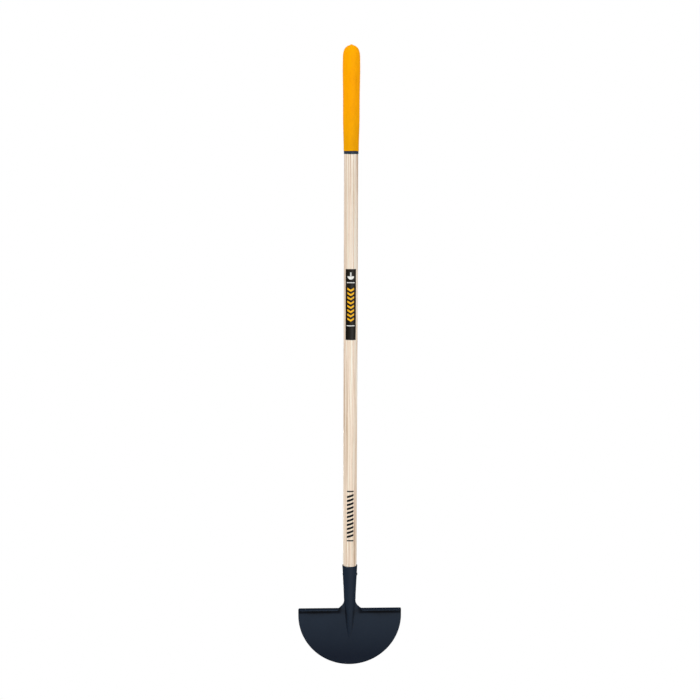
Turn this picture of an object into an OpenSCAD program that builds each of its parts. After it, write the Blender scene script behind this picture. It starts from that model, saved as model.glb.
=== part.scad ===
// Half moon edger: a pressed steel head on a straight wooden handle with a cushion grip.
// The tool stands upright, as in use. +Z runs up the handle, the front faces -Y, and the origin is
// the lowest point of the cutting edge, straight below the handle's axis.

/* [Blade] */
// Width of the blade, twice the radius of its round cutting edge
blade_width = 228.6; // [190:0.2:270]
// Height of the straight sides, from the end of the round edge to the top of the steps
side_height = 17.2; // [12:0.2:40]
// Thickness of the steel sheet that the whole head is pressed from
sheet_thickness = 1.9; // [1.4:0.1:2.6]
// How far the middle of the blade lies in front of the handle's axis
blade_set = 4; // [2:0.5:6]
// Width of the ground bevel along the back of the cutting edge
bevel_width = 6; // [2:0.5:15]
// Thickness left at the tip of the bevel
edge_thickness = 0.7; // [0.3:0.1:1.2]

/* [Steps] */
// How far each turned step reaches in front of the blade's face
step_reach = 17; // [8:0.5:20]
// Inside radius of the bend where the sheet turns forward
step_bend_radius = 2.5; // [1:0.5:5]
// Distance from the middle of the blade to where each step begins
step_start = 17; // [15:0.5:40]
// Length over which each step grows from nothing to its full reach
step_fade = 11; // [2:0.5:30]
// Radius of each step's outer front corner
step_corner_radius = 4; // [1:0.5:5]

/* [Socket] */
// Height of the rounded shoulders, from the top of the steps to the neck
neck_rise = 17.5; // [12:0.5:26]
// Outside diameter of the socket at the neck
neck_diameter = 25.4; // [22:0.2:28]
// Length of the rolled socket, from the neck to the mouth
socket_length = 79; // [64:1:120]
// Length of the hollow rib, from the neck down to where it runs out into the blade
rib_length = 89; // [60:1:110]
// Width of the seam where the rolled edges face each other at the back
seam_gap = 1.6; // [0.8:0.2:4]
// Height of the pointed throat behind the neck, from the neck to the foot of the seam
throat_height = 29; // [15:1:40]
// Gap between the wood and the inside of the socket
socket_clearance = 0.15; // [0.05:0.05:0.4]

/* [Rivet] */
// Diameter of the rivet's shank
rivet_diameter = 5; // [3:0.5:7]
// Distance from the socket's mouth down to the rivet
rivet_drop = 20.4; // [12:0.2:40]
// Diameter of the rivet's formed head
rivet_head_diameter = 7.6; // [7.6:0.2:12]
// Height of the rivet's formed head
rivet_head_height = 1; // [0.8:0.1:3]
// Height of the rivet's flattened tail
rivet_tail_height = 0.3; // [0.3:0.1:2]
// Gap between the shank and the holes that it passes through
rivet_clearance = 0.1; // [0.05:0.05:0.3]

/* [Handle] */
// Diameter of the straight handle
handle_diameter = 30; // [28:0.5:36]
// Length of the handle from end to end
handle_length = 1219.2; // [900:0.2:1500]
// Length of the handle inside the socket
handle_insert = 96.4; // [84:0.2:104]
// Depth of wood turned away at the socket's mouth
handle_shave = 0.45; // [0.1:0.05:1]
// Length of the blunt nose at the lower end
nose_length = 18; // [8:0.5:24]
// Gap around the tip of the nose inside the hollow rib
nose_clearance = 2; // [1:0.1:4]
// Radius of the rounded upper end
handle_end_radius = 12.8; // [6:0.1:13.8]

/* [Grip] */
// Length of handle that the grip covers
grip_cover = 216.3; // [120:0.1:300]
// Wall of the grip at its lower lip
grip_lip_wall = 1; // [0.6:0.05:2]
// Wall of the grip at its waist
grip_waist_wall = 2.65; // [1:0.05:3.2]
// Wall of the grip at its fullest
grip_crown_wall = 3.4; // [3.2:0.05:6]
// Wall of the grip over the handle's rounded end
grip_end_wall = 3.1; // [2:0.05:3.2]
// Gap between the grip and the wood
grip_clearance = 0.1; // [0.05:0.05:0.3]
// Diameter of the nub on the grip's closed end
nub_diameter = 6.2; // [3:0.2:8]
// Height of the nub above the grip's closed end
nub_height = 1.7; // [0.5:0.1:3]

/* [Band] */
// Height of the band below the grip
band_height = 6.3; // [3:0.1:15]
// Wall of the band
band_wall = 0.45; // [0.3:0.05:0.9]

/* [Label] */
// Height of the label's lower edge above the socket's mouth
label_rise = 504.6; // [200:0.2:520]
// Height of the label
label_height = 152.8; // [60:0.2:160]
// Turn of the handle that the label wraps, in degrees
label_turn = 92; // [60:1:180]
// Turn of the label's middle away from the front, towards the right, in degrees
label_aim = -2; // [-30:1:30]
// Thickness of the label's film
label_film = 0.25; // [0.1:0.05:0.5]
// Gap between the label and the wood
label_clearance = 0.05; // [0.02:0.01:0.1]

/* [Hidden] */
$fn = 96;
// Overrun of every cut past the face that it opens
overrun = 1;
// How far the foot of a shoulder's fillet dips below the top of the steps
shoulder_dip = 0.5;
// How far the top of a shoulder's fillet lies inside the neck's outline
shoulder_sink = 0.3;
// Heights of the grip's lip, waist and crown, as shares of its straight length
grip_height_shares = [0, 0.37, 0.52, 0.85, 1];
// Steps along each stretch of the grip's outline
grip_stretch_steps = 6;
steel_color = [0.13, 0.15, 0.19];
wood_color = [0.87, 0.78, 0.65];
grip_color = [0.99, 0.67, 0];
band_color = [0.1, 0.13, 0.22];
label_color = [0.08, 0.08, 0.09];

blade_radius = blade_width / 2;
blade_front = -blade_set - sheet_thickness / 2;
blade_back = -blade_set + sheet_thickness / 2;
step_top = blade_radius + side_height;
bend_outer_radius = step_bend_radius + sheet_thickness;
plate_top = step_top - bend_outer_radius;
bend_y = blade_front - step_bend_radius;
step_front = blade_front - step_reach;

handle_radius = handle_diameter / 2;
neck_radius = neck_diameter / 2;
neck_z = step_top + neck_rise;
mouth_z = neck_z + socket_length;
mouth_radius = handle_radius - handle_shave + socket_clearance + sheet_thickness;
socket_slope = (mouth_radius - neck_radius) / socket_length;
rib_slope = (neck_radius + blade_front) / rib_length;
rib_apex_z = neck_z - neck_radius / rib_slope;
shoulder_radius = neck_rise + shoulder_dip;
shoulder_x = neck_radius - shoulder_sink + shoulder_radius;
throat_half_width = neck_radius + sheet_thickness;
throat_radius = (pow(throat_half_width, 2) + pow(throat_height, 2)) / (2 * throat_half_width);
back_room = mouth_radius + overrun;

handle_bottom = mouth_z - handle_insert;
handle_top = handle_bottom + handle_length;
handle_dome_z = handle_top - handle_end_radius;
nose_top = handle_bottom + nose_length;
taper_top = mouth_z + handle_shave / socket_slope;

grip_bore_radius = handle_radius + grip_clearance;
grip_bottom = handle_top - grip_cover;
grip_straight = handle_dome_z - grip_bottom;
grip_walls = [grip_lip_wall, grip_waist_wall, grip_waist_wall, grip_crown_wall, grip_end_wall];
dome_x = handle_radius - handle_end_radius;
dome_bore_radius = handle_end_radius + grip_clearance;
dome_radius = dome_bore_radius + grip_end_wall;

rivet_z = mouth_z - rivet_drop;
rivet_hole_diameter = rivet_diameter + 2 * rivet_clearance;
rivet_seat = skin_radius(rivet_z + rivet_head_diameter / 2) + rivet_clearance;

label_inner_radius = handle_radius + label_clearance;
label_bottom = mouth_z + label_rise;

// Outside radius of the rib and the socket at a height
function skin_radius(z) =
    z < neck_z ? neck_radius - (neck_z - z) * rib_slope : neck_radius + (z - neck_z) * socket_slope;

// Radius of the wood inside the socket at a height
function wood_radius(z) = skin_radius(z) - sheet_thickness - socket_clearance;

// Eases from 0 to 1 with level ends
function ease(t) = t * t * (3 - 2 * t);

// Point on the grip's outline, part of the way up one of its stretches
function grip_point(stretch, part) = [
    grip_bore_radius
        + grip_walls[stretch]
        + ease(part) * (grip_walls[stretch + 1] - grip_walls[stretch]),
    grip_bottom
        + grip_straight * grip_height_shares[stretch]
        + grip_straight * part * (grip_height_shares[stretch + 1] - grip_height_shares[stretch])
];

// Stands a shape drawn in the XZ plane up and gives it a depth from y_low to y_high
module upright(y_low, y_high) {
    translate([0, y_high, 0])
        rotate([90, 0, 0])
            linear_extrude(height = y_high - y_low)
                children();
}

// Puts a shape on the right and its mirror image on the left
module both_sides() {
    children();
    mirror([1, 0, 0])
        children();
}

// Half moon with straight sides up to the bend of the steps
module blade_outline() {
    intersection() {
        translate([0, blade_radius])
            circle(blade_radius);
        translate([-blade_radius, 0])
            square([blade_width, blade_radius]);
    }
    translate([-blade_radius, blade_radius])
        square([blade_width, plate_top - blade_radius]);
}

// Rounded shoulders that lead from the steps up to the neck
module shoulder_outline() {
    difference() {
        translate([-shoulder_x, plate_top])
            square([2 * shoulder_x, neck_z - plate_top]);
        both_sides()
            translate([shoulder_x, neck_z])
                circle(shoulder_radius);
    }
}

// Cross-section of a step: the bend and the tread in front of it
module step_profile() {
    translate([bend_y, plate_top])
        intersection() {
            difference() {
                circle(bend_outer_radius);
                circle(step_bend_radius);
            }
            square(bend_outer_radius);
        }
    translate([step_front, step_top - sheet_thickness])
        square([bend_y - step_front, sheet_thickness]);
}

// Right step seen from above: it widens from its inner end and has a round outer corner
module step_plan() {
    difference() {
        polygon([
            [step_start, blade_back + overrun],
            [blade_radius, blade_back + overrun],
            [blade_radius, step_front],
            [step_start + step_fade, step_front]
        ]);
        translate([blade_radius - step_corner_radius, step_front])
            difference() {
                translate([0, -overrun])
                    square([step_corner_radius + overrun, step_corner_radius + overrun]);
                translate([0, step_corner_radius])
                    circle(step_corner_radius);
            }
    }
}

// Right step, the turned edge of the sheet that a boot pushes on
module step() {
    intersection() {
        rotate([90, 0, 90])
            linear_extrude(height = blade_radius)
                step_profile();
        translate([0, 0, plate_top])
            linear_extrude(height = bend_outer_radius)
                step_plan();
    }
}

// Solid of revolution of the rib and the socket, drawn in by an inset
module socket_form(inset, top) {
    rotate_extrude()
        polygon([
            [0, rib_apex_z + inset / rib_slope],
            [neck_radius - inset, neck_z],
            [skin_radius(top) - inset, top],
            [0, top]
        ]);
}

// Pointed throat where the rolled edges close up towards the seam
module throat_outline() {
    intersection() {
        translate([throat_half_width - throat_radius, neck_z])
            circle(throat_radius);
        translate([throat_radius - throat_half_width, neck_z])
            circle(throat_radius);
    }
}

// Outside of the rib and the socket, open behind the blade and at the throat
module socket_skin() {
    difference() {
        socket_form(0, mouth_z);
        translate([-back_room, blade_back, rib_apex_z - overrun])
            cube([2 * back_room, 2 * back_room, neck_z - rib_apex_z + overrun]);
        upright(blade_back, back_room)
            throat_outline();
    }
}

// Room inside the rib and the socket, with the seam that opens it at the back
module socket_hollow() {
    socket_form(sheet_thickness, mouth_z + overrun);
    translate([-seam_gap / 2, neck_radius / 2, neck_z + throat_height / 2])
        cube([seam_gap, back_room, socket_length]);
}

// Ring that is ground off the back of the cutting edge
module bevel_cut() {
    bevel_depth = sheet_thickness - edge_thickness;
    bevel_rise = bevel_depth / bevel_width;
    translate([0, blade_back, blade_radius])
        rotate([-90, 0, 0])
            rotate_extrude(angle = 180)
                polygon([
                    [blade_radius - bevel_width - overrun, bevel_rise * overrun],
                    [blade_radius + overrun, -bevel_depth - bevel_rise * overrun],
                    [blade_radius + overrun, bevel_rise * overrun]
                ]);
}

// Hole along X through the socket and the wood for the rivet
module rivet_hole() {
    translate([0, 0, rivet_z])
        rotate([0, 90, 0])
            cylinder(h = 2 * back_room, d = rivet_hole_diameter, center = true);
}

// Half moon blade, steps, rib and rolled socket, all pressed from one sheet
module head() {
    color(steel_color)
        difference() {
            union() {
                upright(blade_front, blade_back) {
                    blade_outline();
                    shoulder_outline();
                }
                both_sides()
                    step();
                socket_skin();
            }
            socket_hollow();
            rivet_hole();
            bevel_cut();
        }
}

// Straight wooden handle, tapered to the socket and rounded at the top
module handle() {
    color(wood_color)
        difference() {
            rotate_extrude() {
                polygon([
                    [0, handle_bottom],
                    [wood_radius(handle_bottom) + socket_clearance - nose_clearance, handle_bottom],
                    [wood_radius(nose_top), nose_top],
                    [handle_radius, taper_top],
                    [handle_radius, handle_dome_z],
                    [dome_x, handle_dome_z],
                    [dome_x, handle_top],
                    [0, handle_top]
                ]);
                translate([dome_x, handle_dome_z])
                    intersection() {
                        circle(handle_end_radius);
                        square(handle_end_radius);
                    }
            }
            rivet_hole();
        }
}

// Half outline of one end of the rivet: half of its shank, with a low dome of a given height on it
module rivet_end_outline(height) {
    cap_radius = (pow(rivet_head_diameter / 2, 2) + pow(height, 2)) / (2 * height);
    square([rivet_diameter / 2, rivet_seat]);
    translate([0, rivet_seat])
        intersection() {
            translate([0, height - cap_radius])
                circle(cap_radius);
            square([rivet_head_diameter / 2, height]);
        }
}

// Cross rivet that pins the handle in the socket, with its head on the right
module rivet() {
    color(steel_color)
        translate([0, 0, rivet_z])
            rotate([0, 90, 0])
                rotate_extrude() {
                    rivet_end_outline(rivet_head_height);
                    mirror([0, 1])
                        rivet_end_outline(rivet_tail_height);
                }
}

// Half outline of the grip without its bore
module grip_outline() {
    polygon([
        [0, grip_bottom],
        for (stretch = [0 : len(grip_walls) - 2])
            for (i = [0 : grip_stretch_steps - 1])
                grip_point(stretch, i / grip_stretch_steps),
        grip_point(len(grip_walls) - 2, 1),
        [0, handle_dome_z]
    ]);
    translate([0, handle_dome_z])
        square([dome_x, dome_radius]);
    translate([dome_x, handle_dome_z])
        intersection() {
            circle(dome_radius);
            square(dome_radius);
        }
    translate([0, handle_dome_z])
        square([nub_diameter / 2, dome_radius + nub_height]);
}

// Half outline of the grip's blind bore
module grip_bore_outline() {
    translate([0, grip_bottom - overrun])
        square([grip_bore_radius, grip_straight + overrun]);
    translate([0, handle_dome_z])
        square([dome_x, dome_bore_radius]);
    translate([dome_x, handle_dome_z])
        intersection() {
            circle(dome_bore_radius);
            square(dome_bore_radius);
        }
}

// Closed cushion sleeve over the top of the handle
module grip() {
    color(grip_color)
        rotate_extrude()
            difference() {
                grip_outline();
                grip_bore_outline();
            }
}

// Dark band around the handle, against the grip's lower lip
module grip_band() {
    color(band_color)
        translate([0, 0, grip_bottom - band_height])
            rotate_extrude()
                translate([grip_bore_radius, 0])
                    square([band_wall, band_height]);
}

// Thin film around the front of the handle
module label() {
    color(label_color)
        translate([0, 0, label_bottom])
            rotate([0, 0, label_aim - 90 - label_turn / 2])
                rotate_extrude(angle = label_turn)
                    translate([label_inner_radius, 0])
                        square([label_film, label_height]);
}

head();
handle();
rivet();
grip();
grip_band();
label();
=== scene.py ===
"""Looks of the half moon edger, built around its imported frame.

Shapes are worked out in millimetres in the frame's own axes: +Z runs up the handle and the front faces -Y.
"""

import math

import bpy
import numpy as np
from mathutils import Matrix, Vector


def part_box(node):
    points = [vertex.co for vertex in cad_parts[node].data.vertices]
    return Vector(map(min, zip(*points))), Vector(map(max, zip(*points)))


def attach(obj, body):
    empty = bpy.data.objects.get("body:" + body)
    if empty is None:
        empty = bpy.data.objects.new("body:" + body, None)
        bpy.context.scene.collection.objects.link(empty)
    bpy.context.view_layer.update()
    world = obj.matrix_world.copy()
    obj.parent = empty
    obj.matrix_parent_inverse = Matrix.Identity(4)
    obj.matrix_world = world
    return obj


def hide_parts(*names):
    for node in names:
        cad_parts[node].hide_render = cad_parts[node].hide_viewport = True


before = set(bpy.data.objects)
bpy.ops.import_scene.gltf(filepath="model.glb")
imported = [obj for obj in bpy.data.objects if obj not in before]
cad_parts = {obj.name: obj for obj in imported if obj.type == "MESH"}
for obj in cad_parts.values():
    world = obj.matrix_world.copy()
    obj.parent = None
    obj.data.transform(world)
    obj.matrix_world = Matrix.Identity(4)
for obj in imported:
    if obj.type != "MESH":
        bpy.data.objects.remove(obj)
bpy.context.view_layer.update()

MM = 0.001


def box_mm(node):
    """Lowest and highest corner of a CAD node, in millimetres."""
    low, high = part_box(node)
    return low / MM, high / MM


# Sizes read from the frame
head_low, head_high = box_mm("head")
handle_low, handle_high = box_mm("handle")
rivet_low, rivet_high = box_mm("rivet")
grip_low, grip_high = box_mm("grip")
band_low, band_high = box_mm("grip_band")
label_low, label_high = box_mm("label")

# Pressed sheet of the head
SHEET = 1.9
HALF_SHEET = SHEET / 2
RIM = 0.6
BLADE_RADIUS = head_high.x
BLADE_SET = 4.0
STEP_TOP = 131.5
STEP_FRONT = head_low.y
BEND_INNER_RADIUS = 2.5
BEND_RADIUS = BEND_INNER_RADIUS + HALF_SHEET
PLATE_TOP = STEP_TOP - BEND_INNER_RADIUS - SHEET
STEP_START = 17.0
STEP_FULL = 28.0
STEP_CORNER_RADIUS = 4.0
STEP_BLEND = 1.2
STEP_END_RADIUS = 5.0
STEP_END_LENGTH = 9.0
BEVEL_WIDTH = 6.0
EDGE_THICKNESS = 0.7

# Rib, shoulders and rolled socket
NECK_Z = 149.0
NECK_RADIUS = 12.7
MOUTH_Z = head_high.z
MOUTH_RADIUS = 16.6
RIB_TAIL_Z = 60.0
RIB_TAIL_RADIUS = 10.3
RIB_TAIL_HALF_WIDTH = 2.5
RIB_FOOT_RADIUS = 1.8
RIB_TAIL_EASE = 0.25
SHOULDER_RADIUS = 17.3
SHOULDER_X = 29.7
SHOULDER_ROLL_Z = 131.0
SHOULDER_ROLL = math.radians(50)
FLARE_RISE = 12.0
SEAM_Z = 178.0
SEAM_GAP = 1.6
THROAT_POWER = 1.4
SOCKET_CLEARANCE = 0.15

# Wooden handle
HANDLE_RADIUS = handle_high.x
NOSE_LENGTH = 18.0
NOSE_CLEARANCE = 2.0
NOSE_EDGE_RADIUS = 1.5
HANDLE_END_RADIUS = 12.8

# Rivet
RIVET_RADIUS = 2.5
RIVET_HEAD_RADIUS = (rivet_high.z - rivet_low.z) / 2
RIVET_Z = (rivet_low.z + rivet_high.z) / 2
RIVET_CLEARANCE = 0.1

# Cushion grip
GRIP_BORE_RADIUS = 15.1
GRIP_SHARES = (0, 0.385, 0.54, 0.92, 1)
GRIP_WALLS = (1.0, 2.5, 2.5, 3.4, 3.15)
GRIP_LIP_RADIUS = 0.5
CROWN_RADIUS = 16.0
CROWN_DROP = 14.0
CROWN_TURN = 22.0
NUB_RADIUS = 2.5
NUB_INSET = 0.4
NUB_FILLET = 0.6

# Label, and the prints on it and on the handle
LABEL_AIM = math.radians(-2)
LABEL_TURN = math.radians(92)
LABEL_CLEARANCE = 0.05
LABEL_FILM = 0.25
INK_FILM = 0.06
CHEVRON_COUNT = 8
CHEVRON_PITCH = 9.2
CHEVRON_HALF_WIDTH = 7.2
CHEVRON_RISE = 4.2
CHEVRON_DEPTH = 4.2
CHEVRON_FOOT = 40.0
HALF_MOON_TURN = 88
LABEL_MOON_RADIUS = 7.0
LABEL_MOON_DROP = 15.5
LABEL_STEM_HALF_WIDTH = 1.3
LABEL_STEM_HEIGHT = 8.5
LABEL_STEM_GAP = 0.7
RULE_HALF_WIDTH = 8.6
RULE_DEPTH = 1.8
RULE_INSET = 30.0
PRINT_LOW = 286.0
PRINT_HIGH = 400.0
PRINT_HALF_WIDTH = 7.6
PRINT_RULE = 3.0
PRINT_BAR_COUNT = 11
PRINT_BAR_RISE = 5.0
PRINT_BAR_DEPTH = 5.0
PRINT_GAP = 7.0

# Painted shade on the head: under the steps, on the walls of the rib, and on the back
SHADE_LOW = 117.2
SHADE_FULL = 119.4
SHADE_START = 15.0
SHADE_END = 26.0
WALL_SHADE_Z = 112.0
WALL_LEAN = 0.3
NECK_WALL_LEAN = 0.62
WALL_LEAN_SPAN = 0.4
# The right wall of the rib takes less painted shade than the left
RIGHT_WALL_SHADE_SHARE = 0.6
NECK_SHADE_FADE = 6.0
BACK_SHADE = 0.45

# Fineness of the meshes
CORE_COLUMNS = 24
WEB_COLUMNS = 3
SHOULDER_COLUMNS = 32
WING_COLUMNS = 40
BLADE_ROWS = 72
STRIP_ROWS = 22
THROAT_ROWS = 26
TUBE_ROWS = 16
RIM_RINGS = 5
TURN_SEGMENTS = 96
ARC_STEPS = 10
WRAP_COLUMNS = 24

# Points nearer than SAME_PLACE are one, and a stretch that curves less than STRAIGHT is straight.
# No divisor is smaller than the last two.
SAME_PLACE = 1e-6
STRAIGHT = 1e-9
LEAST_COSINE = 1e-6
LEAST_LENGTH = 1e-12

# Sizes that follow from those above
RIB_SLOPE = (NECK_RADIUS - BLADE_SET - HALF_SHEET) / (NECK_Z - RIB_TAIL_Z)
SOCKET_SLOPE = (MOUTH_RADIUS - NECK_RADIUS) / (MOUTH_Z - NECK_Z)
EDGE_RADIUS = BLADE_RADIUS - RIM
SHOULDER_EDGE_RADIUS = SHOULDER_RADIUS + RIM
NECK_X = SHOULDER_X - SHOULDER_EDGE_RADIUS
STEP_STRIP = BEND_RADIUS * math.pi / 2 - BLADE_SET - BEND_RADIUS - STEP_FRONT - RIM


def ease(t):
    """Eases from 0 to 1 with level ends, and stays there outside that range."""
    t = min(max(t, 0.0), 1.0)
    return t * t * (3 - 2 * t)


def mix(a, b, t):
    """Value part of the way from a to b."""
    return a + (b - a) * t


def arc(centre_r, centre_z, radius, start, end, steps=ARC_STEPS):
    """Points (r, z) of an arc between two angles in degrees, measured from the direction of +r."""
    angles = np.radians(np.linspace(start, end, steps + 1))
    return [(centre_r + radius * math.cos(a), centre_z + radius * math.sin(a)) for a in angles]


def mesh_object(name, points, faces, material, sharp=40):
    """Object of points in millimetres, shaded smooth.

    Edges that bend more than the angle sharp, in degrees, stay sharp.
    """
    mesh = bpy.data.meshes.new(name)
    mesh.from_pydata([tuple(c * MM for c in p) for p in points], [], faces)
    mesh.validate()
    mesh.shade_smooth()
    mesh.set_sharp_from_angle(angle=math.radians(sharp))
    mesh.materials.append(material)
    obj = bpy.data.objects.new(name, mesh)
    bpy.context.scene.collection.objects.link(obj)
    return obj


def stand_for(obj, node):
    """The object shows in place of a CAD node, which is hidden, and goes with the root body."""
    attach(obj, "root")
    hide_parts(node)


def lathe(profile, closed=False):
    """Points and faces of a profile of (r, z) turned about Z.

    A point with no radius becomes one vertex, and one that repeats the point before it is left out.
    """
    points, faces, rings = [], [], []
    kept = [p for p, before in zip(profile, [profile[-1], *profile]) if math.dist(p, before) > SAME_PLACE]
    for r, z in kept:
        start = len(points)
        if r < SAME_PLACE:
            points.append((0, 0, z))
            rings.append([start] * TURN_SEGMENTS)
            continue
        for k in range(TURN_SEGMENTS):
            a = 2 * math.pi * k / TURN_SEGMENTS
            points.append((r * math.cos(a), r * math.sin(a), z))
        rings.append(list(range(start, start + TURN_SEGMENTS)))
    pairs = list(zip(rings, rings[1:]))
    if closed:
        pairs.append((rings[-1], rings[0]))
    for low, high in pairs:
        for k in range(TURN_SEGMENTS):
            n = (k + 1) % TURN_SEGMENTS
            face = dict.fromkeys((low[k], low[n], high[n], high[k]))
            if len(face) > 2:
                faces.append(list(face))
    return points, faces


# Head: one pressed sheet


def skin_radius(z):
    """Outside radius of the rib and the socket at a height."""
    if z < NECK_Z:
        return NECK_RADIUS - (NECK_Z - z) * RIB_SLOPE
    return NECK_RADIUS + (z - NECK_Z) * SOCKET_SLOPE


def rib_section(z):
    """Middle of the sheet across the rib at a height below the neck.

    Gives y at its front, and the stretches (length, curvature) of crown, foot and web.
    """
    rise = skin_radius(z) - HALF_SHEET - BLADE_SET
    rise = max(RIB_TAIL_EASE * math.log1p(math.exp(rise / RIB_TAIL_EASE)), SAME_PLACE)
    part = min(max((z - RIB_TAIL_Z) / (NECK_Z - RIB_TAIL_Z), 0), 1)
    radius = mix(RIB_TAIL_RADIUS, NECK_RADIUS - HALF_SHEET, part)
    half_width = math.sqrt(2 * rise * (radius + RIB_FOOT_RADIUS) - rise**2 + RIB_TAIL_HALF_WIDTH**2)
    turn = 2 * math.atan(rise / half_width)
    foot_radius = half_width / math.sin(turn) - radius
    roll = SHOULDER_ROLL * ease((z - SHOULDER_ROLL_Z) / (NECK_Z - SHOULDER_ROLL_Z))
    foot_x = half_width - foot_radius * math.sin(roll)
    web = (NECK_X - foot_x) / math.cos(roll)
    stretches = [(radius * turn, 1 / radius), (foot_radius * (turn - roll), -1 / foot_radius), (web, 0)]
    return -BLADE_SET - rise, stretches


def roll_section(z):
    """The same above the neck, where the sheet rolls round to its seam."""
    _, ((crown_length, _), (foot_length, foot_curve), (web_length, _)) = rib_section(NECK_Z)
    radius = skin_radius(z) - HALF_SHEET
    closed = math.pi * radius - SEAM_GAP / 2 - RIM - foot_length - web_length
    part = min((z - NECK_Z) / (SEAM_Z - NECK_Z), 1)
    flare = ease((z - NECK_Z) / FLARE_RISE)
    return -radius, [
        (mix(crown_length, closed, part**THROAT_POWER), 1 / radius),
        (foot_length, mix(foot_curve, 1 / radius, flare)),
        (web_length, flare / radius),
    ]


def walk(section, distance):
    """Place (x, y) and heading at a distance along a section from its front."""
    front, stretches = section
    x, y, heading = 0.0, front, 0.0
    for length, curve in stretches:
        step = min(distance, length)
        distance -= step
        if abs(curve) < STRAIGHT:
            x += step * math.cos(heading)
            y += step * math.sin(heading)
            continue
        new = heading + step * curve
        x += (math.sin(new) - math.sin(heading)) / curve
        y -= (math.cos(new) - math.cos(heading)) / curve
        heading = new
    return x, y, heading


def core_length(section):
    """Length of the crown and the foot."""
    (crown, _), (foot, _), _ = section[1]
    return crown + foot


def rolled_point(section, column):
    """Place (x, y) of one of the columns that run on into the socket."""
    core = core_length(section)
    web = section[1][2][0]
    if column <= CORE_COLUMNS:
        return walk(section, core * column / CORE_COLUMNS)[:2]
    return walk(section, core + web * (column - CORE_COLUMNS) / WEB_COLUMNS)[:2]


def wing_places():
    """Distances of the outer columns from the middle, closest where the outline bends most."""
    turn = math.acos((SHOULDER_X - STEP_FULL) / SHOULDER_EDGE_RADIUS)
    shoulder = [
        SHOULDER_X - SHOULDER_EDGE_RADIUS * math.cos(turn * k / SHOULDER_COLUMNS)
        for k in range(1, SHOULDER_COLUMNS + 1)
    ]
    start = math.asin(STEP_FULL / EDGE_RADIUS)
    wing = [
        EDGE_RADIUS * math.sin(mix(start, math.pi / 2, k / WING_COLUMNS))
        for k in range(1, WING_COLUMNS + 1)
    ]
    return shoulder + wing


def strip_shape(x):
    """Turn of the bend and length of sheet above the plate, at a distance from the middle."""
    turn = math.pi / 2 * ease((x - STEP_START) / (STEP_FULL - STEP_START))
    corner = x - (EDGE_RADIUS - STEP_CORNER_RADIUS)
    full = STEP_STRIP
    if corner > 0:
        full -= STEP_CORNER_RADIUS - math.sqrt(max(STEP_CORNER_RADIUS**2 - corner**2, 0))
    if x >= STEP_FULL:
        return turn, full
    drop = math.sqrt(SHOULDER_EDGE_RADIUS**2 - (SHOULDER_X - x) ** 2)
    rise = NECK_Z - drop - PLATE_TOP - BEND_RADIUS * math.sin(turn)
    free = BEND_RADIUS * turn + rise / max(math.cos(turn), LEAST_COSINE)
    if x <= STEP_START:
        return turn, free
    blend = max(STEP_BLEND - abs(free - full), 0) / STEP_BLEND
    return turn, min(free, full) - blend**2 * STEP_BLEND / 4


def rounded_end(x, z):
    """Distance from the middle, drawn in where the outer end of the step is rounded."""
    rise = min(max(z - STEP_TOP + STEP_END_RADIUS, 0), STEP_END_RADIUS)
    inset = STEP_END_RADIUS - math.sqrt(STEP_END_RADIUS**2 - rise**2)
    share = max(x - EDGE_RADIUS + STEP_END_LENGTH, 0) / STEP_END_LENGTH
    return x - inset * share**2


def strip_point(x, part):
    """Place on the shoulder or the step, part of the way from the plate to the free edge."""
    turn, length = strip_shape(x)
    distance = length * part
    bent = min(distance / BEND_RADIUS, turn)
    flat = distance - bent * BEND_RADIUS
    z = PLATE_TOP + BEND_RADIUS * math.sin(bent) + flat * math.cos(turn)
    y = -BLADE_SET - BEND_RADIUS * (1 - math.cos(bent)) - flat * math.sin(turn)
    if z > SHOULDER_ROLL_Z:
        section = rib_section(min(z, NECK_Z))
        foot_x, foot_y, heading = walk(section, core_length(section))
        fade = 1 - ease((x - STEP_START) / (STEP_FULL - STEP_START))
        y += fade * (foot_y + BLADE_SET + (x - foot_x) * math.tan(heading))
    return rounded_end(x, z), y, z


def blade_low(x):
    """Height of the sheet's lower edge at a distance from the middle."""
    return BLADE_RADIUS - math.sqrt(max(EDGE_RADIUS**2 - x**2, 0))


def sheet_rows():
    """Rows of the right half of the sheet's middle, from the cutting edge up to the mouth."""
    wings = wing_places()
    rolled = CORE_COLUMNS + WEB_COLUMNS
    nominal = [rolled_point(rib_section(0), c)[0] for c in range(rolled + 1)]
    rows = []
    for j in range(BLADE_ROWS + 1):
        row = []
        for x in nominal + wings:
            z = mix(blade_low(x), PLATE_TOP, j / BLADE_ROWS)
            c = len(row)
            place = rolled_point(rib_section(z), c) if c <= rolled else (rounded_end(x, z), -BLADE_SET)
            row.append((*place, z))
        rows.append(row)
    for j in range(1, STRIP_ROWS + 1):
        part = j / STRIP_ROWS
        z = mix(PLATE_TOP, NECK_Z, part)
        section = rib_section(z)
        row = [(*rolled_point(section, c), z) for c in range(rolled + 1)]
        rows.append(row + [strip_point(x, part) for x in wings])
    throat = np.linspace(NECK_Z, SEAM_Z, THROAT_ROWS + 1)[1:]
    tube = np.linspace(SEAM_Z, MOUTH_Z - RIM, TUBE_ROWS + 1)[1:]
    for z in [*throat, *tube]:
        section = roll_section(z)
        rows.append([(*rolled_point(section, c), z) for c in range(rolled + 1)])
    return rows


def sheet_middle():
    """Points and quads of the whole sheet's middle, both halves, with the quads facing the front."""
    points, index, quads = [], {}, []
    rows = sheet_rows()
    for j, row in enumerate(rows):
        for c, (x, y, z) in enumerate(row):
            for side in (1, -1) if c else (1,):
                index[j, side * c] = len(points)
                points.append((side * x, y, z))
    for j in range(len(rows) - 1):
        last = min(len(rows[j]), len(rows[j + 1])) - 1
        for c in range(-last, last):
            quads.append([index[j, c], index[j, c + 1], index[j + 1, c + 1], index[j + 1, c]])
    return np.array(points), quads


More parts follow.
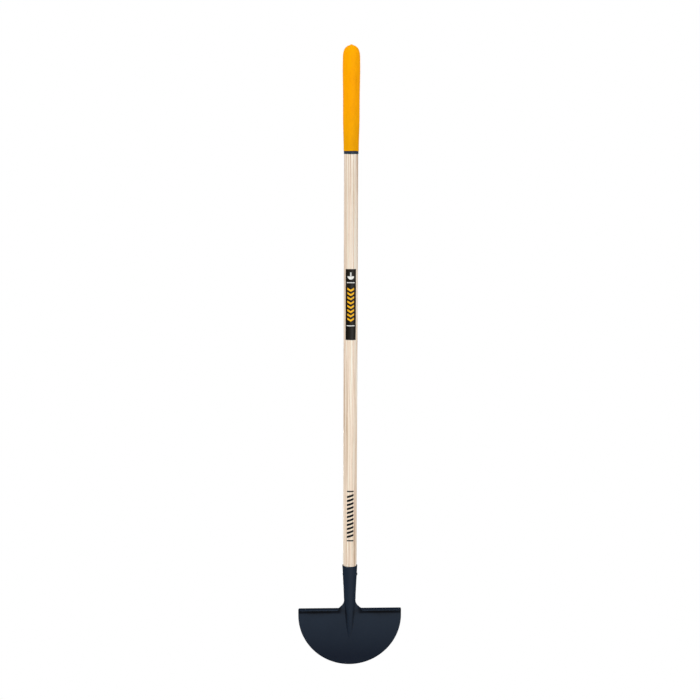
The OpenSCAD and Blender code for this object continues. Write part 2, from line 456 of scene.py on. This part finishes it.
def back_depth(point):
    """Distance from the sheet's middle to its back, which is ground to a bevel along the cutting edge."""
    x, _, z = point
    inside = BLADE_RADIUS - math.hypot(x, max(BLADE_RADIUS - z, 0))
    ground = max(1 - inside / BEVEL_WIDTH, 0) * (1 - ease((z - BLADE_RADIUS) / BEVEL_WIDTH))
    return HALF_SHEET - (SHEET - EDGE_THICKNESS) * ground


def unit(vectors):
    """Rows of an array brought to a length of 1."""
    return vectors / np.maximum(np.linalg.norm(vectors, axis=-1, keepdims=True), LEAST_LENGTH)


def painted_corner_shade(point, normal):
    """How much painted shade a point on the front takes: under a step or on a wall of the rib, less on the
    right wall.
    """
    x, _, z = point
    lean = mix(WALL_LEAN, NECK_WALL_LEAN, ease((z - WALL_SHADE_Z) / (NECK_Z - WALL_SHADE_Z)))
    wall = ease((abs(normal[0]) - lean) / WALL_LEAN_SPAN) * (1 - ease((z - NECK_Z) / NECK_SHADE_FADE))
    if x > 0:
        wall *= RIGHT_WALL_SHADE_SHARE
    near_step = ease((z - SHADE_LOW) / (SHADE_FULL - SHADE_LOW))
    round_bend = ease((z - PLATE_TOP) / (STEP_TOP - PLATE_TOP))
    along_step = ease((abs(x) - SHADE_START) / (SHADE_END - SHADE_START))
    return max(wall, near_step * (1 - round_bend) * along_step)


def back_shade(point):
    """How much painted shade darkens and dulls a point on the back: the tops of the steps and the inside
    of the rib.
    """
    return BACK_SHADE * ease((-BLADE_SET - point[1]) / BEND_RADIUS)


def sheet_normals(points, quads):
    """Unit normal of the sheet at each point, towards the front."""
    corners = points[quads]
    across = np.cross(corners[:, 2] - corners[:, 0], corners[:, 3] - corners[:, 1])
    normals = np.zeros_like(points)
    for k in range(4):
        np.add.at(normals, np.array(quads)[:, k], across)
    return unit(normals)


def sheet_border(quads):
    """Edges (a, b) on the rim of the sheet, in the order of their quads."""
    edges = [(q[k - 1], q[k]) for q in quads for k in range(4)]
    known = set(edges)
    return [(a, b) for a, b in edges if (b, a) not in known]


def rim_directions(points, normals, border):
    """Unit direction out of the sheet at each point of its rim."""
    outward = np.zeros_like(points)
    for a, b in border:
        side = unit(np.cross(points[b] - points[a], normals[a] + normals[b]))
        outward[a] += side
        outward[b] += side
    return unit(outward)


def head_solid():
    """Points and faces of the sheet with its thickness and round edges, and each point's painted shade."""
    middle, quads = sheet_middle()
    normals = sheet_normals(middle, quads)
    border = sheet_border(quads)
    outward = rim_directions(middle, normals, border)
    depths = np.array([back_depth(p) for p in middle])[:, None]
    count = len(middle)
    points = [*(middle + normals * HALF_SHEET), *(middle - normals * depths)]
    # Painted shade of each point: in corners on the front, and on the step tops and inside the rib on the
    # back
    shade = [painted_corner_shade(*pair) for pair in zip(middle, normals)] + [back_shade(p) for p in middle]
    faces = quads + [[i + count for i in reversed(q)] for q in quads]
    chains = {}
    for v in dict.fromkeys(v for edge in border for v in edge):
        chains[v] = [v]
        centre = middle[v] + normals[v] * (HALF_SHEET - depths[v]) / 2
        half = (HALF_SHEET + depths[v]) / 2
        for k in range(1, RIM_RINGS + 1):
            a = math.pi * (0.5 - k / (RIM_RINGS + 1))
            chains[v].append(len(points))
            bulge = outward[v] * RIM * math.sqrt(math.cos(a))
            points.append(centre + bulge + normals[v] * half * math.sin(a))
            shade.append(0.0)
        chains[v].append(v + count)
    for a, b in border:
        for k in range(RIM_RINGS + 1):
            faces.append([chains[b][k], chains[a][k], chains[a][k + 1], chains[b][k + 1]])
    return points, faces, shade


def make_head(material):
    """Blade, steps, rib and socket as one sheet."""
    points, faces, shade = head_solid()
    obj = mesh_object("head_sheet", points, faces, material)
    # Painted shade of each point, read by the enamel
    attribute = obj.data.attributes.new("shade", "FLOAT", "POINT")
    attribute.data.foreach_set("value", shade)
    stand_for(obj, "head")


# Handle, rivet, grip and band: turned pieces


def wood_radius(z):
    """Radius of the wood inside the socket at a height."""
    return skin_radius(z) - SHEET - SOCKET_CLEARANCE


def make_handle(material):
    """Straight handle, tapered into the socket, with a blunt nose and a round upper end."""
    nose_top = handle_low.z + NOSE_LENGTH
    nose_radius = wood_radius(handle_low.z) + SOCKET_CLEARANCE - NOSE_CLEARANCE
    taper_top = MOUTH_Z + (HANDLE_RADIUS - wood_radius(MOUTH_Z)) / SOCKET_SLOPE
    dome_z = handle_high.z - HANDLE_END_RADIUS
    dome_r = HANDLE_RADIUS - HANDLE_END_RADIUS
    profile = [
        (0, handle_low.z),
        *arc(nose_radius - NOSE_EDGE_RADIUS, handle_low.z + NOSE_EDGE_RADIUS, NOSE_EDGE_RADIUS, -90, 0),
        (wood_radius(nose_top), nose_top),
        (HANDLE_RADIUS, taper_top),
        *arc(dome_r, dome_z, HANDLE_END_RADIUS, 0, 90),
        (0, handle_high.z),
    ]
    obj = mesh_object("handle_wood", *lathe(profile), material)
    stand_for(obj, "handle")


def rivet_end(height):
    """Half outline of a low domed rivet end on its base, from its rim to its middle."""
    radius = (RIVET_HEAD_RADIUS**2 + height**2) / (2 * height)
    half_angle = math.degrees(math.asin(RIVET_HEAD_RADIUS / radius))
    return arc(0, height - radius, radius, 90 - half_angle, 90)


def make_rivet(material):
    """Cross rivet with its formed head on the right and its flattened tail on the left."""
    seat = skin_radius(RIVET_Z + RIVET_HEAD_RADIUS) + RIVET_CLEARANCE
    head = [(r, seat + h) for r, h in rivet_end(rivet_high.x - seat)]
    tail = [(r, -seat - h) for r, h in rivet_end(-seat - rivet_low.x)]
    profile = [*reversed(tail), (RIVET_RADIUS, -seat), (RIVET_RADIUS, seat), *head]
    points, faces = lathe(profile)
    turned = [(z, y, RIVET_Z - x) for x, y, z in points]
    obj = mesh_object("rivet_pin", turned, faces, material)
    stand_for(obj, "rivet")


def grip_sides(top_z):
    """Outside of the grip from its thin lip up past its waist to a height: points (r, z)."""
    lip = GRIP_BORE_RADIUS + GRIP_WALLS[0] - GRIP_LIP_RADIUS
    outside = arc(lip, grip_low.z + GRIP_LIP_RADIUS, GRIP_LIP_RADIUS, -90, 0)
    stretches = zip(GRIP_SHARES, GRIP_SHARES[1:], GRIP_WALLS, GRIP_WALLS[1:])
    for low, high, wall_low, wall_high in stretches:
        for k in range(1, ARC_STEPS + 1):
            part = k / ARC_STEPS
            wall = mix(wall_low, wall_high, ease(part))
            outside.append((GRIP_BORE_RADIUS + wall, mix(grip_low.z, top_z, mix(low, high, part))))
    return outside


def grip_crown(side_r, side_z, dome_z, top):
    """Outside of the grip's end from its side, over its dome and up the nub: points (r, z)."""
    turn = math.radians(CROWN_TURN)
    corner_z = dome_z + CROWN_RADIUS * math.sin(turn)
    corner_r = side_r - math.tan(turn) * (corner_z - side_z) / 3
    dome_r = corner_r - CROWN_RADIUS * math.cos(turn)
    shares = np.linspace(0, 1, ARC_STEPS)
    lean = [(mix(side_r, corner_r, t**3), mix(side_z, corner_z, t)) for t in shares]
    reach = CROWN_RADIUS + NUB_FILLET
    fillet_r = NUB_RADIUS + NUB_FILLET
    fillet_z = dome_z + math.sqrt(reach**2 - (fillet_r - dome_r) ** 2)
    nub_turn = math.degrees(math.asin((fillet_z - dome_z) / reach))
    nub_edge = top - fillet_z
    return [
        *lean,
        *arc(dome_r, dome_z, CROWN_RADIUS, CROWN_TURN, nub_turn, 2 * ARC_STEPS),
        *arc(fillet_r, fillet_z, NUB_FILLET, 180 + nub_turn, 180),
        *arc(NUB_RADIUS - nub_edge, fillet_z, nub_edge, 0, 90),
        (0, top),
    ]


def make_grip(material):
    """Closed cushion sleeve with a thin lip, a waist, a fuller crown and a nub on its round end."""
    dome_z = handle_high.z - HANDLE_END_RADIUS
    dome_r = HANDLE_RADIUS - HANDLE_END_RADIUS
    bore_radius = GRIP_BORE_RADIUS - dome_r
    side_r, side_z = GRIP_BORE_RADIUS + GRIP_WALLS[-1], dome_z - CROWN_DROP
    outside = [*grip_sides(side_z), *grip_crown(side_r, side_z, dome_z, grip_high.z - NUB_INSET)]
    inside = [(0, dome_z + bore_radius), *arc(dome_r, dome_z, bore_radius, 90, 0)]
    profile = [(GRIP_BORE_RADIUS, grip_low.z), *outside, *inside]
    obj = mesh_object("grip_cushion", *lathe(profile, closed=True), material)
    stand_for(obj, "grip")


def make_band(material):
    """Thin band around the handle with round edges."""
    wall = band_high.x - GRIP_BORE_RADIUS
    edge = wall / 2
    middle = GRIP_BORE_RADIUS + edge
    lower = arc(middle, band_low.z + edge, edge, 180, 360)
    upper = arc(middle, band_high.z - edge, edge, 0, 180)
    obj = mesh_object("grip_band_ring", *lathe(lower + upper, closed=True), material, sharp=60)
    stand_for(obj, "grip_band")


# Label and prints: thin films wrapped on the handle


def wrapped(columns, inside, aim=0.0, film=INK_FILM):
    """Closed film on the handle with a given inside radius, turned to the right by the angle aim.

    Its columns are (distance round the front, low z, high z).
    """
    points, faces = [], []
    # Each column has four points: low and high outside, then low and high inside
    for distance, low, high in columns:
        a = distance / HANDLE_RADIUS + aim
        for radius in (inside + film, inside):
            points.append((radius * math.sin(a), -radius * math.cos(a), low))
            points.append((radius * math.sin(a), -radius * math.cos(a), high))
    for k in range(0, len(points) - 4, 4):
        faces.append([k, k + 4, k + 5, k + 1])
        faces.append([k + 2, k + 3, k + 7, k + 6])
        faces.append([k, k + 2, k + 6, k + 4])
        faces.append([k + 1, k + 5, k + 7, k + 3])
    end = len(points) - 4
    faces.append([0, 1, 3, 2])
    faces.append([end, end + 2, end + 3, end + 1])
    return points, faces


def joined(parts):
    """Several sets of points and faces as one."""
    points, faces = [], []
    for part_points, part_faces in parts:
        faces += [[i + len(points) for i in f] for f in part_faces]
        points += part_points
    return points, faces


def bar(half_width, low, high):
    """Columns of an upright or level bar on the middle of a print."""
    return [(s, low, high) for s in np.linspace(-half_width, half_width, WRAP_COLUMNS + 1)]


def half_moon(radius, top):
    """Columns of a half disc with its straight side on top, cut blunt at its two ends."""
    angles = np.radians(np.linspace(-HALF_MOON_TURN, HALF_MOON_TURN, 2 * WRAP_COLUMNS + 1))
    return [(radius * math.sin(a), top - radius * math.cos(a), top) for a in angles]


def chevron(half_width, low, rise, depth):
    """Columns of a band that points down."""
    places = np.linspace(-1, 1, WRAP_COLUMNS + 1)
    return [(half_width * p, low + rise * abs(p), low + rise * abs(p) + depth) for p in places]


def slanted_bar(half_width, low, rise, depth):
    """Columns of a band that climbs to the right."""
    places = np.linspace(0, 1, WRAP_COLUMNS + 1)
    return [(mix(-half_width, half_width, p), low + rise * p, low + rise * p + depth) for p in places]


def ride_print(name, points, faces, material):
    """Printed film that goes with the tool."""
    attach(mesh_object(name, points, faces, material), "root")


def make_label(film, yellow, white):
    """Dark film with a plain print: a half moon on its stem over a ladder of chevrons between rules."""
    low, high = label_low.z, label_high.z
    inside = HANDLE_RADIUS + LABEL_CLEARANCE
    face = inside + LABEL_FILM
    sheet = bar(LABEL_TURN * HANDLE_RADIUS / 2, low, high)
    obj = mesh_object("label_film", *wrapped(sheet, inside, LABEL_AIM, LABEL_FILM), film)
    stand_for(obj, "label")
    feet = [low + CHEVRON_FOOT + CHEVRON_PITCH * k for k in range(CHEVRON_COUNT)]
    ladder = [chevron(CHEVRON_HALF_WIDTH, foot, CHEVRON_RISE, CHEVRON_DEPTH) for foot in feet]
    ride_print("label_chevrons", *joined([wrapped(c, face, LABEL_AIM) for c in ladder]), yellow)
    moon_top = high - LABEL_MOON_DROP
    marks = [
        half_moon(LABEL_MOON_RADIUS, moon_top),
        bar(LABEL_STEM_HALF_WIDTH, moon_top + LABEL_STEM_GAP, moon_top + LABEL_STEM_HEIGHT),
        bar(RULE_HALF_WIDTH, high - RULE_INSET, high - RULE_INSET + RULE_DEPTH),
        bar(RULE_HALF_WIDTH, low + RULE_INSET, low + RULE_INSET + RULE_DEPTH),
    ]
    ride_print("label_marks", *joined([wrapped(m, face, LABEL_AIM) for m in marks]), white)


def make_handle_print(material):
    """Plain dark print above the socket: a stack of slanted bars between two rules."""
    marks = [
        bar(PRINT_HALF_WIDTH, PRINT_LOW, PRINT_LOW + PRINT_RULE),
        bar(PRINT_HALF_WIDTH, PRINT_HIGH - PRINT_RULE, PRINT_HIGH),
    ]
    highest = PRINT_HIGH - PRINT_GAP - PRINT_BAR_RISE - PRINT_BAR_DEPTH
    for low in np.linspace(PRINT_LOW + PRINT_GAP, highest, PRINT_BAR_COUNT):
        marks.append(slanted_bar(PRINT_HALF_WIDTH, low, PRINT_BAR_RISE, PRINT_BAR_DEPTH))
    ride_print("handle_print", *joined([wrapped(m, HANDLE_RADIUS) for m in marks]), material)


# Materials: grain is in repeats per metre along each axis, and places and depths are in metres

WHITE = (1, 1, 1, 1)
BLACK = (0, 0, 0, 1)


def srgb(red, green, blue):
    """Linear colour of 8 bit screen values."""
    def linear(value):
        v = value / 255
        return v / 12.92 if v <= 0.04045 else ((v + 0.055) / 1.055) ** 2.4

    return linear(red), linear(green), linear(blue), 1.0


def grey(value):
    """Linear grey."""
    return value, value, value, 1


def even(scale):
    """The same scale along each axis."""
    return scale, scale, scale


class Shader:
    """Material with a Principled shader, and short calls that add nodes to it."""

    def __init__(self, name, shine):
        self.material = bpy.data.materials.new(name)
        self.material.use_nodes = True
        self.tree = self.material.node_tree
        self.surface = self.tree.nodes["Principled BSDF"]
        self.surface.inputs["Specular IOR Level"].default_value = shine

    def add(self, kind, inputs, **settings):
        """New node with its settings, and its inputs set to values or linked to sockets."""
        node = self.tree.nodes.new("ShaderNode" + kind)
        for key, value in settings.items():
            setattr(node, key, value)
        for key, value in inputs.items():
            if isinstance(value, bpy.types.NodeSocket):
                self.tree.links.new(value, node.inputs[key])
            else:
                node.inputs[key].default_value = value
        return node

    def place(self, scale, rotation=(0, 0, 0), offset=(0, 0, 0)):
        """Object coordinates, scaled, turned and moved."""
        coordinates = self.add("TexCoord", {})
        inputs = {
            "Vector": coordinates.outputs["Object"],
            "Scale": scale,
            "Rotation": rotation,
            "Location": offset,
        }
        return self.add("Mapping", inputs).outputs["Vector"]

    def noise(self, scale, detail=2.0, roughness=0.5, distortion=0.0, offset=(0, 0, 0)):
        """Noise between 0 and 1, with its scale per metre along each axis."""
        inputs = {
            "Vector": self.place(scale, offset=offset),
            "Scale": 1.0,
            "Detail": detail,
            "Roughness": roughness,
            "Distortion": distortion,
        }
        return self.add("TexNoise", inputs).outputs["Fac"]

    def math(self, operation, first, second=0.0, third=0.0):
        """Result of a Math node."""
        return self.add("Math", {0: first, 1: second, 2: third}, operation=operation).outputs[0]

    def ramp(self, factor, *stops):
        """Colour of a ramp given as (position, colour) stops."""
        node = self.add("ValToRGB", {"Fac": factor})
        elements = node.color_ramp.elements
        while len(elements) < len(stops):
            elements.new(1.0)
        for element, (position, colour) in zip(elements, stops):
            element.position = position
            element.color = colour
        return node.outputs["Color"]

    def blend(self, factor, first, second, mode="MIX"):
        """Two colours mixed: inputs 0, 6 and 7 of a Mix node are its factor and colours."""
        inputs = {0: factor, 6: first, 7: second}
        return self.add("Mix", inputs, data_type="RGBA", blend_type=mode).outputs[2]

    def span(self, factor, low, high):
        """Value from 0 to 1 mapped to lie between two ends."""
        return self.add("MapRange", {"Value": factor, "To Min": low, "To Max": high}).outputs["Result"]

    def along(self, axis, start, end):
        """Share of the way between two places in metres along an axis, from 0 to 1."""
        place = self.add("SeparateXYZ", {0: self.place(even(1))}).outputs[axis]
        inputs = {"Value": place, "From Min": start, "From Max": end}
        return self.add("MapRange", inputs).outputs["Result"]

    def colour(self, socket):
        """Base colour of the surface."""
        self.tree.links.new(socket, self.surface.inputs["Base Color"])

    def rough(self, socket):
        """Roughness of the surface."""
        self.tree.links.new(socket, self.surface.inputs["Roughness"])

    def bump(self, height, depth):
        """Bump whose height is in shares of a depth in metres."""
        inputs = {"Height": height, "Distance": depth, "Strength": 1.0}
        self.tree.links.new(self.add("Bump", inputs).outputs["Normal"], self.surface.inputs["Normal"])


PAINTED_SHADE_FADE = (0.0, 0.15)
ENAMEL_AND_SHADE_STOPS = ((0.13, srgb(4, 19, 38)), (0.4, srgb(18, 31, 47)), (0.75, srgb(27, 39, 54)))
PAINTED_SHADE_COLOUR = srgb(6, 10, 20)
PAINTED_SHADE_STRENGTH = 0.8
CORNER_DULLNESS = 0.32
PEEL_DEPTH = 0.00014


def paint_material():
    """Blue-black satin enamel with a fine orange peel, and painted shade that darkens it towards the
    cutting edge and in corners.
    """
    s = Shader("head_paint", shine=0.29)
    # Painted shade: the enamel darkens towards the cutting edge
    body = s.ramp(s.along("Z", *PAINTED_SHADE_FADE), *ENAMEL_AND_SHADE_STOPS)
    cloud = s.span(s.noise(even(14), detail=4), low=0.82, high=1.18)
    clouded = s.blend(1.0, body, cloud, "MULTIPLY")
    shade = s.add("Attribute", {}, attribute_name="shade").outputs["Fac"]
    # Painted shade in the corners darkens the enamel there
    s.colour(s.blend(s.math("MULTIPLY", shade, PAINTED_SHADE_STRENGTH), clouded, PAINTED_SHADE_COLOUR))
    gloss = s.span(s.noise(even(140), detail=3), low=0.6, high=0.68)
    s.rough(s.math("MULTIPLY_ADD", shade, CORNER_DULLNESS, gloss))
    s.bump(s.noise(even(620)), PEEL_DEPTH)
    return s.material


RIVET_STOPS = ((0.35, srgb(26, 29, 37)), (0.65, srgb(40, 45, 54)))
DENT_DEPTH = 0.0003


def rivet_material():
    """Enamel over the rivet's hammered ends."""
    s = Shader("rivet_paint", shine=0.35)
    dent = s.noise(even(420))
    s.colour(s.ramp(dent, *RIVET_STOPS))
    s.rough(s.span(dent, low=0.36, high=0.52))
    s.bump(dent, DENT_DEPTH)
    return s.material


STREAK_SCALE = (460, 460, 2.8)
STREAK_OFFSET = (63.0, 27.0, 15.3)
STREAK_STOPS = (
    (0.36, srgb(190, 163, 133)),
    (0.43, srgb(236, 214, 194)),
    (0.49, srgb(252, 236, 220)),
    (0.54, srgb(244, 231, 209)),
    (0.61, srgb(255, 254, 243)),
)
HEART_INSIDE = (0.0078, 0.0092)
HEART_OUTSIDE = (0.0112, 0.0097)
HEART_FALL = (0.46, 0.4)
HEART_SHIFT = -0.1
PITH_LEAN = (0.012, 0.008, 0)
PITH_OFFSET = (0.104, -0.036, 0)
RING_SPACING = 0.0047
RING_SWAY = 0.016
RING_SWAY_SCALE = (10, 10, 2.6)
RING_STOPS = ((0.0, WHITE), (0.18, grey(0.8)), (0.42, BLACK), (0.86, grey(0.04)), (1.0, WHITE))
RING_FALL = (0.45, 0.22)
RING_TINT = srgb(220, 196, 170)
FIBRE_SCALE = (900, 900, 16)
FIBRE_TINT = srgb(234, 216, 198)
FIBRE_DEPTH = 0.00006
PORE_SCALE = (2600, 2600, 110)
PORE_STOPS = ((0.62, BLACK), (0.7, WHITE))
PORE_COLOUR = srgb(168, 132, 98)
PORE_DARKNESS = 0.55
UPPER_SHADE_RISE = (0.62, 1.0)
UPPER_SHADE_TINT = srgb(248, 248, 249)


def wood_streaks(s):
    """Colour of the long streaks, with a brown band down the right of the handle's foot."""
    band = s.math("MULTIPLY", s.along("X", *HEART_INSIDE), s.along("X", *HEART_OUTSIDE))
    heart = s.math("MULTIPLY", band, s.along("Z", *HEART_FALL))
    streak = s.noise(STREAK_SCALE, detail=3, roughness=0.7, distortion=0.9, offset=STREAK_OFFSET)
    return s.ramp(s.math("MULTIPLY_ADD", heart, HEART_SHIFT, streak), *STREAK_STOPS)


def early_wood(s):
    """How porous the wood is, from 0 to 1, across the growth rings round a pith outside the handle."""
    leaned = s.place(even(1), rotation=PITH_LEAN, offset=PITH_OFFSET)
    flat = s.add("VectorMath", {0: leaned, 1: (1, 1, 0)}, operation="MULTIPLY").outputs["Vector"]
    reach = s.add("VectorMath", {0: flat}, operation="LENGTH").outputs["Value"]
    sway = s.math("MULTIPLY", s.noise(RING_SWAY_SCALE, detail=3), RING_SWAY)
    phase = s.math("FRACT", s.math("DIVIDE", s.math("ADD", reach, sway), RING_SPACING))
    return s.ramp(phase, *RING_STOPS)


def wood_material():
    """Lacquered ash: streaks of cream, pink and tan, faint growth rings, open pores and fine fibres.

    Its rings are a little deeper near the foot, and painted shade makes it a little greyer towards the
    grip.
    """
    s = Shader("handle_ash", shine=0.2)
    early = early_wood(s)
    depth = s.span(s.along("Z", *RING_FALL), low=0.3, high=0.4)
    ringed = s.blend(s.math("MULTIPLY", early, depth), wood_streaks(s), RING_TINT, "MULTIPLY")
    fibre = s.noise(FIBRE_SCALE, detail=4, roughness=0.6)
    fibred = s.blend(s.span(fibre, low=0, high=0.3), ringed, FIBRE_TINT, "MULTIPLY")
    # Painted shade: the wood is a little greyer towards the grip
    upper_shaded = s.blend(s.along("Z", *UPPER_SHADE_RISE), fibred, UPPER_SHADE_TINT, "MULTIPLY")
    pores = s.math("MULTIPLY", s.ramp(s.noise(PORE_SCALE, detail=1), *PORE_STOPS), early)
    s.colour(s.blend(s.math("MULTIPLY", pores, PORE_DARKNESS), upper_shaded, PORE_COLOUR))
    s.rough(s.span(fibre, low=0.36, high=0.5))
    s.bump(s.math("SUBTRACT", fibre, pores), FIBRE_DEPTH)
    return s.material


CELL_SCALE = 850.0
PIT_STOPS = ((0.05, srgb(236, 228, 220)), (0.4, WHITE))
MOTTLE_SCALE = (45, 45, 30)
VINYL_STOPS = ((0.3, srgb(251, 163, 0)), (0.7, srgb(255, 170, 1)))
LOWER_VINYL_STOPS = ((0.3, srgb(237, 161, 1)), (0.7, srgb(242, 167, 2)))
LOWER_VINYL_RISE = (1.15, 1.24)
FOAM_DEPTH = 0.00028


def grip_material():
    """Soft yellow-orange vinyl foam with a skin of fine cells and pits, a little darker towards its lip.
    """
    s = Shader("grip_vinyl", shine=0.05)
    cells = s.add("TexVoronoi", {"Vector": s.place(even(1)), "Scale": CELL_SCALE}).outputs["Distance"]
    mottle = s.noise(MOTTLE_SCALE, detail=4)
    # A darker tone towards the lip
    lower_vinyl = s.ramp(mottle, *LOWER_VINYL_STOPS)
    body = s.blend(s.along("Z", *LOWER_VINYL_RISE), lower_vinyl, s.ramp(mottle, *VINYL_STOPS))
    s.colour(s.blend(1.0, body, s.ramp(cells, *PIT_STOPS), "MULTIPLY"))
    s.rough(s.span(mottle, low=0.5, high=0.64))
    s.bump(s.math("ADD", cells, mottle), FOAM_DEPTH)
    return s.material


TURNED_SCALE = (20, 20, 1400)
TURNED_DEPTH = 0.0001
BAND_STOPS = ((0.3, srgb(38, 52, 64)), (0.7, srgb(50, 64, 76)))


def band_material():
    """Navy rubber with faint turned lines."""
    s = Shader("band_rubber", shine=0.1)
    lines = s.noise(TURNED_SCALE)
    s.colour(s.ramp(lines, *BAND_STOPS))
    s.rough(s.span(lines, low=0.34, high=0.5))
    s.bump(lines, TURNED_DEPTH)
    return s.material


FILM_SCALE = (90, 90, 40)
FILM_DEPTH = 0.00006
FILM_STOPS = ((0.3, srgb(24, 20, 15)), (0.7, srgb(32, 28, 21)))


def film_material():
    """Black printed film, a little uneven in its colour and its satin gloss."""
    s = Shader("label_film", shine=0.3)
    cloud = s.noise(FILM_SCALE, detail=3)
    s.colour(s.ramp(cloud, *FILM_STOPS))
    s.rough(s.span(cloud, low=0.44, high=0.58))
    s.bump(cloud, FILM_DEPTH)
    return s.material


INK_SCALE = (700, 700, 60)
INK_DEPTH = 0.00003
YELLOW_INK = (srgb(250, 188, 22), srgb(232, 168, 20))
WHITE_INK = (srgb(240, 240, 236), srgb(215, 215, 210))
BLACK_INK = (srgb(18, 17, 17), srgb(34, 31, 29))


def ink_material(name, colour, thin):
    """Screen-printed ink, a little uneven where it takes the grain of what it covers."""
    s = Shader(name, shine=0.25)
    grain = s.noise(INK_SCALE, detail=3)
    s.colour(s.ramp(grain, (0.35, colour), (0.75, thin)))
    s.rough(s.span(grain, low=0.42, high=0.6))
    s.bump(grain, INK_DEPTH)
    return s.material


# Stage, light and camera

IMAGE_SIZE = 700
FOCAL_PIXELS = 1348
SENSOR_WIDTH = 36.0
CAMERA_DISTANCE = 2.8835
CAMERA_HEIGHT = 1.1326
CAMERA_TURN = math.radians(-2.3)
CAMERA_PITCH = math.radians(8.36)
CAMERA_ROLL = math.radians(0.19)
CAMERA_AIM = math.radians(0.0225)
FLOOR_RADIUS = 44.0
SURROUND_RADIUS = 45.0
SURROUND_RINGS = 24
FILL_STRENGTH = 0.35
LIGHT_AIM = Vector((0, 0, 0.68))
LIGHT_DISTANCE = 12.0


def make_camera():
    """Camera at the photograph's place, looking a little down on the tool."""
    data = bpy.data.cameras.new("camera")
    data.sensor_width = SENSOR_WIDTH
    data.lens = SENSOR_WIDTH * FOCAL_PIXELS / IMAGE_SIZE
    obj = bpy.data.objects.new("camera", data)
    bpy.context.scene.collection.objects.link(obj)
    place = Vector((
        CAMERA_DISTANCE * math.sin(CAMERA_TURN),
        -CAMERA_DISTANCE * math.cos(CAMERA_TURN),
        CAMERA_HEIGHT,
    ))
    turn = Matrix.Rotation(CAMERA_TURN + CAMERA_AIM, 4, "Z")
    tilt = Matrix.Rotation(math.pi / 2 - CAMERA_PITCH, 4, "X")
    roll = Matrix.Rotation(CAMERA_ROLL, 4, "Z")
    obj.matrix_world = Matrix.Translation(place) @ turn @ tilt @ roll
    bpy.context.scene.camera = obj


def make_light(name, turn, lift, size, strength):
    """Square soft box at angles in degrees: turned right from the front, and lifted from level.

    Its strength is the brightness that it gives to a white surface that faces it.
    """
    data = bpy.data.lights.new(name, "AREA")
    data.size = size
    data.energy = strength * (math.pi * LIGHT_DISTANCE) ** 2
    obj = bpy.data.objects.new(name, data)
    bpy.context.scene.collection.objects.link(obj)
    a, b = math.radians(turn), math.radians(lift)
    away = Vector((math.sin(a) * math.cos(b), -math.cos(a) * math.cos(b), math.sin(b)))
    obj.location = LIGHT_AIM + away * LIGHT_DISTANCE
    obj.rotation_euler = (-away).to_track_quat("-Z", "Y").to_euler()
    obj.visible_camera = False
    return obj


def make_lights():
    """Soft boxes on the left, on the right and behind that add no shine, and two that add only that."""
    matt = [
        make_light("left", turn=-55, lift=21, size=5.0, strength=0.73),
        make_light("right", turn=55, lift=21, size=4.0, strength=0.62),
        make_light("behind", turn=172, lift=45, size=7.0, strength=0.5),
    ]
    for light in matt:
        light.visible_glossy = False
    shine = [
        make_light("front", turn=22, lift=2, size=4.0, strength=0.45),
        make_light("rear", turn=186, lift=-22, size=4.0, strength=0.6),
    ]
    for light in shine:
        light.visible_diffuse = False


def make_stage():
    """White floor under a white surround: backdrops for the camera, which throw no light on the tool."""
    white = Shader("backdrop_white", shine=0.0)
    white.surface.inputs["Base Color"].default_value = BLACK
    white.surface.inputs["Emission Color"].default_value = WHITE
    white.surface.inputs["Emission Strength"].default_value = 1.0
    bpy.ops.mesh.primitive_circle_add(vertices=TURN_SEGMENTS, radius=FLOOR_RADIUS, fill_type="NGON")
    floor = bpy.context.object
    floor.name = "floor"
    bpy.ops.mesh.primitive_uv_sphere_add(
        segments=2 * SURROUND_RINGS,
        ring_count=SURROUND_RINGS,
        radius=SURROUND_RADIUS,
    )
    surround = bpy.context.object
    surround.name = "surround"
    for backdrop in (floor, surround):
        backdrop.data.materials.append(white.material)
        backdrop.visible_diffuse = False
        backdrop.visible_glossy = False
        backdrop.visible_shadow = False


def make_world():
    """Even grey fill from all round, which adds no shine."""
    world = bpy.data.worlds.new("studio")
    bpy.context.scene.world = world
    world.use_nodes = True
    background = world.node_tree.nodes["Background"]
    background.inputs["Color"].default_value = WHITE
    background.inputs["Strength"].default_value = FILL_STRENGTH
    world.cycles_visibility.glossy = False


make_head(paint_material())
make_handle(wood_material())
make_rivet(rivet_material())
make_grip(grip_material())
make_band(band_material())
make_label(
    film_material(),
    ink_material("ink_yellow", *YELLOW_INK),
    ink_material("ink_white", *WHITE_INK),
)
make_handle_print(ink_material("ink_black", *BLACK_INK))
make_stage()
make_world()
make_lights()
make_camera()
bpy.context.scene.view_settings.view_transform = "Standard"
